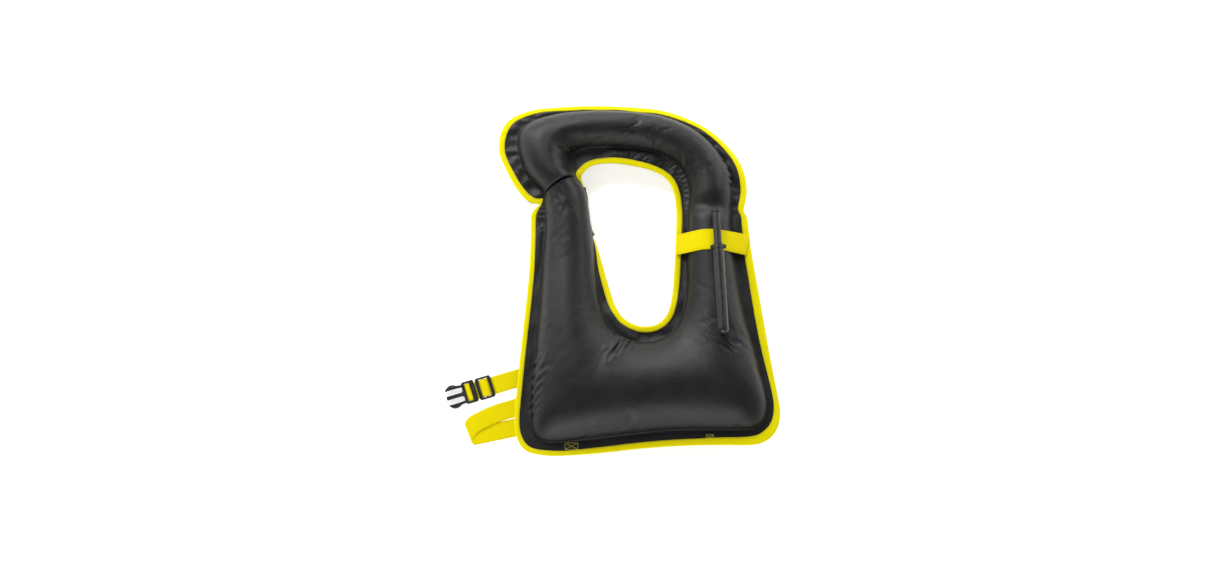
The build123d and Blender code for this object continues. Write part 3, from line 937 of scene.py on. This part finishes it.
def make_bladder(vest, cloth):
    """The airtight bag inside the covers: the chamber, a little smaller, and pinched at the crease."""
    around = np.concatenate([vest.front, vest.back[:, -2:0:-1]], 1)[:, ::2]
    points = cloth[around]
    middle = points.mean(1, keepdims=True)
    reach = np.linalg.norm(points - middle, axis=2, keepdims=True)
    pinch = np.exp(-((np.minimum(vest.t, len(STATIONS) - vest.t) / 0.7) ** 2))
    kept = 0.94 - 0.5 * pinch
    middle[:, 0, 2] -= 0.008 * pinch
    share = np.maximum(0.2, 1 - BLADDER_INSET / np.maximum(reach, 1e-6)) * kept[:, None, None]
    points = middle + (points - middle) * share
    count, width = points.shape[:2]
    index = np.arange(count * width).reshape(count, width)
    faces = np.stack(
        [index, np.roll(index, -1, 1), np.roll(np.roll(index, -1, 1), -1, 0), np.roll(index, -1, 0)], -1
    ).reshape(-1, 4)
    bladder = new_piece("air_bladder", points.reshape(-1, 3), faces)
    dressed(bladder, FILM)
    over_fold(bladder)
    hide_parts("bladder_bib", "bladder_collar")


TAPE_WIDTH = 0.009
TAPE_TOP = 0.0016      # height of the tape's outer face over the middle of the margin
TAPE_PLY = 0.0005
# The tape's section: distance in from the cut edge, and height over the margin.
TAPE_SECTION = [
    (TAPE_WIDTH, TAPE_TOP - 0.0001),
    (TAPE_WIDTH * 0.72, TAPE_TOP + 0.0001),
    (TAPE_WIDTH * 0.4, TAPE_TOP + 0.00025),
    (0.0012, TAPE_TOP + 0.0002),
    (-0.0002, TAPE_TOP - 0.0004),
    (-0.0010, 0.0006),
    (-0.0012, 0.0),
]


def tape_profile():
    """The U of the binding: outer face, edge, and back, then the inside of the fold."""
    back = [(s, -h) for s, h in reversed(TAPE_SECTION[:-1])]
    inside_front = [(max(s, 0.0) + (TAPE_PLY if s < 0.002 else 0), h - TAPE_PLY) for s, h in TAPE_SECTION[:4]]
    inside_back = [(s, -h) for s, h in inside_front]
    return TAPE_SECTION + back + inside_back + inside_front[::-1]


def edge_frames(margin):
    """The cut edge of a margin, with the direction into the cloth and the way up."""
    edge = smoothed(margin[:, -1], 1)
    inward = unit(smoothed(margin[:, -3] - margin[:, -1], 3))
    tangent = unit(smoothed(np.roll(edge, -1, 0) - np.roll(edge, 1, 0), 1))
    up = np.cross(tangent, inward)
    up = unit(smoothed(up * np.sign(up[:, 2:]), 3))
    inward = unit(inward - up * np.sum(inward * up, 1, keepdims=True))
    return edge, inward, up


def make_binding(name, margin, share, *nodes):
    """The yellow tape folded round a cut edge, and its row of stitches on each face."""
    edge, inward, up = edge_frames(margin)
    inward = inward * share[:, None]
    tape = swept(name, edge, inward, up, tape_profile(), closed=True)
    dressed(tape, TAPE)
    over_fold(tape)
    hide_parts(*nodes)
    row = edge + inward * TAPE_WIDTH * 0.8
    for side, label in ((1, "front"), (-1, "back")):
        line = row + up * side * (TAPE_TOP + 0.00015)
        sewn = stitches(name + "_stitches_" + label, line, up * side, closed=True)
        dressed(sewn, YELLOW_THREAD)
        over_fold(sewn)
    return tape


def make_seam_stitches(name, vest, cloth, column, margin):
    """The seam beside a chamber, sewn through both panels just outside it."""
    beside = cloth[column]
    outward = unit(smoothed(cloth[margin[:, 2]] - beside, 3))
    line = smoothed(beside + outward * 0.0022, 2)
    line[:, 2] += PLY + 0.0003
    sewn = stitches(name, line, upright(line), closed=True)
    dressed(sewn, BLACK_THREAD)
    over_fold(sewn)


# ---------------------------------------------------------------- pieces sewn on

class Surface:
    """Heights of finished pieces, found from above or below."""

    def __init__(self, *pieces):
        self.trees = []
        for piece in pieces:
            work = bmesh.new()
            work.from_mesh(piece.data)
            self.trees.append(BVHTree.FromBMesh(work))
            work.free()

    def height(self, x, y, fallback, below=False):
        start, way = (-1.0, 1.0) if below else (1.0, -1.0)
        hits = [tree.ray_cast(Vector((x, y, start)), Vector((0, 0, way)))[0] for tree in self.trees]
        found = [hit.z for hit in hits if hit is not None]
        if not found:
            return fallback
        return min(found) if below else max(found)


def stretched_over(heights):
    """Heights of a strap pulled tight over the highest points of a profile."""
    tight = []
    for k, z in enumerate(heights):
        while len(tight) >= 2:
            (i, zi), (j, zj) = tight[-2:]
            if (zj - zi) * (k - i) > (z - zi) * (j - i):
                break
            tight.pop()
        tight.append((k, z))
    where, level = zip(*tight)
    return np.interp(np.arange(len(heights)), where, level)


def draped_strap(
    name, surface, start_edge, end_edge, lift, thickness, rows=9, columns=90, below=False, tight=False
):
    """A strap laid on a surface. Each edge is given as its two corners in plan, in metres."""
    along = np.linspace(0, 1, columns)[:, None, None]
    across = np.linspace(0, 1, rows)[None, :, None]
    start = np.array(start_edge[0]) * (1 - across) + np.array(start_edge[1]) * across
    end = np.array(end_edge[0]) * (1 - across) + np.array(end_edge[1]) * across
    plan = start * (1 - along) + end * along
    side = -1 if below else 1
    z = np.array([[surface.height(x, y, SEAM_Z * MM, below) for x, y in line] for line in plan])
    if tight:
        z = np.stack([stretched_over(line) for line in z.T], 1)
    z = smoothed(z, 4 if tight else 3, closed=False)
    z = smoothed(z.T, 2, closed=False).T + side * lift
    points = np.concatenate([plan, z[..., None]], -1)
    strip_along = np.repeat(lengths_along(points[:, rows // 2])[:, None], rows, 1)
    width = np.linalg.norm(np.array(start_edge[1]) - np.array(start_edge[0]))
    strip_across = np.repeat(np.linspace(-width / 2, width / 2, rows)[None], columns, 0)
    strip = np.stack([strip_along, strip_across, np.zeros_like(z)], -1).reshape(-1, 3)
    piece = new_piece(name, points.reshape(-1, 3), grid_faces(columns, rows, closed=False), strip)
    with_thickness(piece, thickness, offset=0.0)
    softened(piece, thickness * 0.35, 50)
    return baked(piece), points


WEB_THICK = 0.0016
WEB_WIDTH = 0.030
# The retainer band's corners, in millimetres: its long edges, then the top and bottom of each end.
BAND_Y = (42.5, 77.5)
BAND_LEFT = (60.5, 60.5)
BAND_RIGHT = (182.5, 176.5)
WEB_LIFT = 0.0011      # from the cloth to the middle of webbing laid on it


def make_retainer_band(surface):
    """Webbing over the right lobe, sewn down at both ends, that holds the inflator."""
    start = (metres((BAND_LEFT[1], BAND_Y[1]))[:2], metres((BAND_LEFT[0], BAND_Y[0]))[:2])
    end = (metres((BAND_RIGHT[0], BAND_Y[1]))[:2], metres((BAND_RIGHT[1], BAND_Y[0]))[:2])
    band, points = draped_strap(
        "retainer_band_web", surface, start, end, WEB_LIFT, WEB_THICK, tight=True
    )
    dressed(band, WEBBING)
    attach(band, "vest")
    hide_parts("retainer_band")
    for label, column in (("neck", 3), ("side", -4)):
        line = points[column] + np.array([0, 0, WEB_THICK / 2 + 0.0001])
        sewn = stitches("band_stitches_" + label, line, upright(line))
        dressed(sewn, YELLOW_THREAD)
        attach(sewn, "vest")


def make_hem_tab(side, surface, back_surface, centre, size, stitched):
    """A folded webbing tab behind the hem and the boxed cross that sews it on."""
    middle = metres(centre)[:2]
    half = np.array(size) * MM / 2
    corners = [middle + half * np.array(c) for c in ((-1, 1), (-1, -1), (1, 1), (1, -1))]
    tab, _ = draped_strap(
        "tab_" + side, back_surface, corners[:2], corners[2:], WEB_LIFT, WEB_THICK,
        rows=5, columns=14, below=True,
    )
    dressed(tab, WEBBING)
    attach(tab, "vest")
    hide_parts("hem_tab_" + side)
    half = np.array(stitched) * MM / 2
    corner = [middle + half * np.array(c) for c in ((-1, -1), (1, -1), (1, 1), (-1, 1))]
    route = [corner[0], corner[1], corner[2], corner[3], corner[0], corner[2], corner[1], corner[3]]
    line = []
    for a, b in zip(route, route[1:]):
        for share in np.linspace(0, 1, 9)[:-1]:
            x, y = a * (1 - share) + b * share
            line.append((x, y, surface.height(x, y, SEAM_Z * MM) + 0.0002))
    line = np.array(line)
    sewn = stitches(
        "box_stitch_" + side, line, upright(line), length=0.0023, gap=0.0005, radius=0.00042
    )
    dressed(sewn, YELLOW_THREAD)
    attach(sewn, "vest")
    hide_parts("hem_stitch_" + side)


# ---------------------------------------------------------------- straps

STRAP_TURN = math.radians(197.2)
STRAP_ALONG = np.array([math.cos(STRAP_TURN), math.sin(STRAP_TURN), 0.0])
STRAP_SIDE = np.array([-math.sin(STRAP_TURN), math.cos(STRAP_TURN), 0.0])
SLIDER_AT = np.append(box_middle("strap_slider")[:2], 0.0)


def rounded_route(points):
    """A smooth curve near a list of points, through the first and last."""
    points = np.asarray(points, float)
    for _ in range(4):
        ahead = points[:-1] * 0.75 + points[1:] * 0.25
        behind = points[:-1] * 0.25 + points[1:] * 0.75
        points = np.concatenate([points[:1], np.stack([ahead, behind], 1).reshape(-1, 2)[1:-1], points[-1:]])
    return points


def make_web(name, route, node):
    """Webbing in the strap's upright plane. route is (along, height) of its middle, in millimetres."""
    smooth = rounded_route(route) * MM
    line = SLIDER_AT + smooth[:, :1] * STRAP_ALONG + smooth[:, 1:] * UP
    ahead = unit(np.gradient(line, axis=0))
    side = np.tile(STRAP_SIDE, (len(line), 1))
    up = unit(np.cross(ahead, side))
    web = swept(name, line, side, up, webbing_profile(WEB_WIDTH, WEB_THICK))
    dressed(web, WEBBING)
    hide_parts(node)
    return web


def make_waist_strap():
    """The strap from its seam under the vest, its weave through the slider and its doubled end."""
    low, top = 1.0, 4.3    # heights of the webbing on the floor and over the slider's bar
    strap_route = [(-86, 3.8), (-80, 2.0), (-74, low), (-42, low), (-9.1, low)]
    web = make_web("waist_strap_web", strap_route, "waist_strap")
    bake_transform(web)
    weave_route = [(-9.1, low), (-7.4, low), (-4.0, top), (4.0, top), (7.4, low), (9.5, low), (15.1, low)]
    weave = make_web("slider_weave_web", weave_route, "strap_weave")
    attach(weave, "slider")
    loop_route = [
        (15.1, low), (24, low), (29.6, low), (31.6, 2.2), (31.4, 4.6), (28.6, 5.9), (25.2, 5.7), (22.6, 3.4),
        (20.4, 2.75), (16.4, 2.75),
    ]
    loop = make_web("buckle_loop_web", loop_route, "strap_loop")
    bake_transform(loop)


# ---------------------------------------------------------------- slider and buckle

def round_corners(outline, radius, steps=5):
    """A closed outline with each corner rounded."""
    points = []
    for before, corner, after in zip(outline[-1:] + outline[:-1], outline, outline[1:] + outline[:1]):
        before, corner, after = (np.array(p, float) for p in (before, corner, after))
        size = min(radius, np.linalg.norm(before - corner) * 0.45, np.linalg.norm(after - corner) * 0.45)
        start = corner + size * unit(before - corner)
        end = corner + size * unit(after - corner)
        for share in np.linspace(0, 1, steps):
            points.append((1 - share) ** 2 * start + 2 * share * (1 - share) * corner + share**2 * end)
    return points


def block(u0, u1, half_width):
    return [(u0, -half_width), (u1, -half_width), (u1, half_width), (u0, half_width)]


MOULD_EDGE = 0.7       # radius of a moulding's edges, in millimetres


def moulded(outlines, low, high):
    """The mesh of a moulded plate with holes, in the strap's coordinates, with rounded edges."""
    curve = bpy.data.curves.new("outline", "CURVE")
    curve.dimensions = "2D"
    curve.fill_mode = "BOTH"
    curve.extrude = (high - low) / 2 - MOULD_EDGE
    curve.bevel_depth = MOULD_EDGE
    curve.bevel_resolution = 2
    curve.offset = -MOULD_EDGE
    for outline, radius in outlines:
        points = round_corners(outline, radius)
        line = curve.splines.new("POLY")
        line.points.add(len(points) - 1)
        line.use_cyclic_u = True
        for point, (u, w) in zip(line.points, points):
            point.co = (u, w, 0, 1)
    holder = linked("outline", curve)
    bpy.context.view_layer.update()
    mesh = bpy.data.meshes.new_from_object(holder.evaluated_get(bpy.context.evaluated_depsgraph_get()))
    bpy.data.objects.remove(holder)
    points = np.empty(len(mesh.vertices) * 3)
    mesh.vertices.foreach_get("co", points)
    points = points.reshape(-1, 3)
    points[:, 2] += (low + high) / 2
    mesh.vertices.foreach_set("co", points.ravel())
    work = bmesh.new()
    work.from_mesh(mesh)
    bmesh.ops.remove_doubles(work, verts=work.verts, dist=0.01)
    bmesh.ops.recalc_face_normals(work, faces=work.faces)
    work.to_mesh(mesh)
    work.free()
    return mesh


def make_moulding(name, plates, body, *nodes):
    """One plastic piece from several plates, each given as (outlines, low, high)."""
    work = bmesh.new()
    for outlines, low, high in plates:
        mesh = moulded(outlines, low, high)
        work.from_mesh(mesh)
        bpy.data.meshes.remove(mesh)
    for vertex in work.verts:
        u, w, z = vertex.co
        vertex.co = Vector(SLIDER_AT + (u * STRAP_ALONG + w * STRAP_SIDE + z * UP) * MM)
    bmesh.ops.recalc_face_normals(work, faces=work.faces)
    final = bpy.data.meshes.new(name)
    work.to_mesh(final)
    work.free()
    piece = linked(name, final)
    for polygon in final.polygons:
        polygon.use_smooth = True
    final.set_sharp_from_angle(angle=math.radians(50))
    dressed(piece, PLASTIC)
    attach(piece, body)
    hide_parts(*nodes)


BUCKLE_HALF = 19.0
LATCH = [
    (36.9, 11.6), (36.9, 15.6), (42, 16.2), (46, 17.2), (49.5, 19.2), (53.5, 20.0), (58, 19.4), (62, 17.0),
    (66.0, 12.8), (65.4, 12.0), (61, 12.2), (56, 12.4), (51, 12.2), (46, 12.2), (42, 11.8),
]


def make_buckle():
    """The slider, and the buckle's frame, guide and two latches."""
    slider = [(block(-13.5, 13.5, BUCKLE_HALF), 4.5), (block(-8.0, 8.0, 15.8), 2.0)]
    bar = [(block(-1.6, 1.6, 16.5), 0.6)]
    make_moulding("slider_moulding", [(slider, 2.1, 5.1), (bar, 2.0, 3.4)], "slider", "strap_slider")
    frame_outline = [(block(15.6, 36.5, BUCKLE_HALF), 3.6), (block(23.4, 32.4, 15.6), 1.6)]
    web_bar = [(block(25.2, 28.6, 16.3), 0.8)]
    guide = [(block(35.0, 66.0, 3.2), 1.2)]
    lug = [(block(35.2, 39.2, 4.6), 1.2)]
    shoulder = [(block(34.5, 37.4, 16.8), 1.0)]
    plates = [
        (frame_outline, 3.7, 7.1),
        (web_bar, 2.4, 4.6),
        (guide, 2.9, 6.3),
        (lug, 2.6, 6.6),
        (shoulder, 2.4, 6.9),
    ]
    make_moulding("buckle_moulding", plates, "buckle", "buckle_frame")
    for label, side in (("left", 1), ("right", -1)):
        outline = [(u, side * w) for u, w in LATCH]
        make_moulding(
            "latch_moulding_" + label, [([(outline, 1.2)], 2.4, 6.8)], "latch_" + label, "buckle_latch_" + label
        )


# The loop strap's middle line: out from under the vest, then back from its soft fold.
LOOP_OUT = [(-167.0, -234.0), (-206.3, -242.3), (-276.0, -257.2)]
LOOP_BACK = [
    (-275.5, -238.2), (-267.5, -233.0), (-245.5, -222.2), (-226.2, -215.0), (-198.4, -207.0), (-176, -201),
]
FOLD_REACH = 8.5       # how far the soft fold runs out past those lines
LOW, HIGH = 1.0, 2.9   # heights of the two branches
SOCKET_TOP = 9.2       # height of the strap's tail where it lies over the socket
SOCKET_FROM = (-211.0, -214.3)
SOCKET_TO = (-200.0, -207.4)
SOCKET_TURN = math.radians(-14.0)


def along_line(points, count):
    """Evenly spaced points on a smooth open line, with the direction at each."""
    points = np.array(points, float)
    ends = np.concatenate([[2 * points[0] - points[1]], points, [2 * points[-1] - points[-2]]])
    steps = np.linspace(1, len(points), 200)
    line = spline(ends, np.minimum(steps, len(points) - 1e-6))
    far = np.concatenate([[0], np.cumsum(np.linalg.norm(np.diff(line, axis=0), axis=1))])
    at = np.linspace(0, far[-1], count)
    line = np.stack([np.interp(at, far, line[:, k]) for k in range(2)], 1)
    return line, unit(np.gradient(line, axis=0))


def make_loop_strap():
    """The lower strap: out from under the vest, softly folded over and back to the socket."""
    out, out_way = along_line(LOOP_OUT, 30)
    back, back_way = along_line(LOOP_BACK, 36)
    places, sides, ups = [], [], []

    def add(place, height, side, up):
        places.append(np.append(place, height))
        sides.append(side)
        ups.append(up)

    for place, way in zip(out, out_way):
        add(place, LOW, np.array([-way[1], way[0], 0.0]), UP)
    start = np.array([-out_way[-1][1], out_way[-1][0], 0.0])
    end = np.array([back_way[0][1], -back_way[0][0], 0.0])
    roll = unit(np.append(out_way[-1] - back_way[0], 0.0))
    for angle in np.linspace(0, math.pi, 15)[1:-1]:
        share = angle / math.pi
        place = out[-1] * (1 - share) + back[0] * share + roll[:2] * FOLD_REACH * math.sin(angle)
        side = unit(start * (1 - share) + end * share)
        height = LOW + (HIGH - LOW) * (1 - math.cos(angle)) / 2
        add(place, height, side, unit(UP * math.cos(angle) - roll * math.sin(angle)))
    for share, place, way in zip(np.linspace(0, 1, len(back)), back, back_way):
        climb = np.clip((share - 0.68) / 0.14, 0, 1)
        height = HIGH + (SOCKET_TOP - HIGH) * climb**2 * (3 - 2 * climb)
        add(place, height, np.array([way[1], -way[0], 0.0]), -UP)
    line = metres(np.array(places))
    web = swept("loop_strap_web", line, np.array(sides), np.array(ups), webbing_profile(WEB_WIDTH, WEB_THICK))
    dressed(web, WEBBING)
    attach(web, "vest")
    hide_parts("loop_strap")


def copied(node_name, name, material, move=Matrix()):
    """A piece with the shape of a CAD node, moved."""
    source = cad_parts[node_name]
    mesh = source.data.copy()
    mesh.transform(source.matrix_world)
    mesh.transform(move)
    return dressed(linked(name, mesh), material)


def make_socket():
    """The buckle's socket, tucked further under the vest on the end of the loop strap."""
    start, end = Vector(metres((*SOCKET_FROM, 0.0))), Vector(metres((*SOCKET_TO, 0.0)))
    turn = Matrix.Rotation(SOCKET_TURN, 4, "Z")
    move = Matrix.Translation(end) @ turn @ Matrix.Translation(-start)
    socket = copied("buckle_socket", "socket_moulding", PLASTIC, move)
    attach(socket, "vest")
    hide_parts("buckle_socket")


def make_spring():
    """The valve's spring, held by the hose at its foot and pressed by the mouthpiece."""
    spring = copied("valve_spring", "spring_coil", STEEL)
    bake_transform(spring)
    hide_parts("valve_spring")


# ---------------------------------------------------------------- kept hardware

# The CAD nodes that are shown as they are: material, and radius of the edges in metres.
HARDWARE = {
    "hose_port": (RUBBER, 0.0006),
    "inflation_hose": (RUBBER, 0.0008),
    "valve_body": (PLASTIC, 0.0003),
    "valve_lock_ring": (PLASTIC, 0.0006),
    "mouthpiece": (PLASTIC, 0.0006),
    "valve_seal": (RUBBER, 0.0002),
}


def dress_hardware():
    """Better materials and softened edges for the CAD pieces that stay."""
    for name, (material, radius) in HARDWARE.items():
        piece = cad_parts[name]
        for slot in piece.material_slots:
            slot.material = material
        softened(piece, radius, 40)


# ---------------------------------------------------------------- studio

def area_light(name, place, aim, size, power):
    light = bpy.data.lights.new(name, "AREA")
    light.energy = power
    light.size = size
    lamp = linked(name, light)
    lamp.location = place
    lamp.rotation_euler = (Vector(aim) - Vector(place)).to_track_quat("-Z", "Y").to_euler()


# Area lights: name, place and size in metres, power in watts.
LIGHTS = [
    ("key", (-0.8, 1.5, 1.6), 0.8, 26),
    ("top", (0.1, 2.3, 1.1), 1.1, 18),
    ("left", (-1.6, 1.3, 0.9), 0.9, 13),
    ("right", (1.6, 1.4, 0.9), 0.9, 14),
    ("front", (-0.2, -1.9, 1.0), 1.2, 17),
]
FLOOR_HALF = 4.0
VIEW_ELEVATION = math.radians(75)
VIEW_DISTANCE = 5.67
VIEW_AIM = Vector((0.0023, -0.002, 0.04))


def make_studio():
    """The floor, lights, sky and camera."""
    scene = bpy.context.scene
    half = FLOOR_HALF
    floor = new_piece(
        "floor", [(-half, -half, 0), (half, -half, 0), (half, half, 0), (-half, half, 0)], [(0, 1, 2, 3)]
    )
    floor.data.materials.append(floor_material())
    middle = (0.0, 0.0, SEAM_Z * MM)
    for name, place, size, power in LIGHTS:
        area_light(name, place, middle, size, power)
    world = bpy.data.worlds.new("studio")
    world.use_nodes = True
    tree = world.node_tree
    background = tree.nodes["Background"]
    place = node(tree, "TexCoord")
    split = node(tree, "SeparateXYZ")
    tree.links.new(place.outputs["Generated"], split.inputs[0])
    greys = [(0.0, 0.8), (0.35, 0.52), (1.0, 0.2)]
    sky = ramp(tree, split.outputs["Z"], [(place, (grey,) * 3) for place, grey in greys])
    tree.links.new(sky, background.inputs["Color"])
    background.inputs["Strength"].default_value = 0.75
    scene.world = world
    scene.view_settings.view_transform = "Standard"
    camera = bpy.data.cameras.new("camera")
    camera.lens = 100
    camera.sensor_width = 36
    view = linked("camera", camera)
    scene.camera = view
    away = Vector((0, -math.cos(VIEW_ELEVATION), math.sin(VIEW_ELEVATION)))
    view.location = VIEW_AIM + VIEW_DISTANCE * away
    view.rotation_euler = (VIEW_AIM - view.location).to_track_quat("-Z", "Y").to_euler()


# ---------------------------------------------------------------- the vest

vest = Vest()
cloth = pressed_margins(vest, inflated(vest))
front = make_panel("front_cover", vest, cloth, True)
back = make_panel("back_cover", vest, cloth, False)
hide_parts("front_cover_bib", "front_cover_collar")
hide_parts("back_cover_bib", "back_cover_collar")
make_bladder(vest, cloth)
outer_tape = make_binding(
    "outer_binding", cloth[vest.edge_margin], vest.tape_share, "bib_edge_binding", "collar_edge_binding"
)
neck_tape = make_binding(
    "neck_binding", cloth[vest.neck_margin], np.ones(len(vest.t)),
    "bib_neck_binding", "collar_neck_binding",
)
make_seam_stitches("outer_seam_stitches", vest, cloth, vest.front[:, -1], vest.edge_margin)
make_seam_stitches("neck_seam_stitches", vest, cloth, vest.front[:, 0], vest.neck_margin)
make_retainer_band(Surface(front, outer_tape, neck_tape))
front_surface, back_surface = Surface(front), Surface(back)
make_hem_tab("left", front_surface, back_surface, (-113, -282), (25, 11), (21, 11))
make_hem_tab("right", front_surface, back_surface, (114, -267), (17, 11), (12, 9))
make_waist_strap()
make_buckle()
make_loop_strap()
make_socket()
make_spring()
dress_hardware()
make_studio()
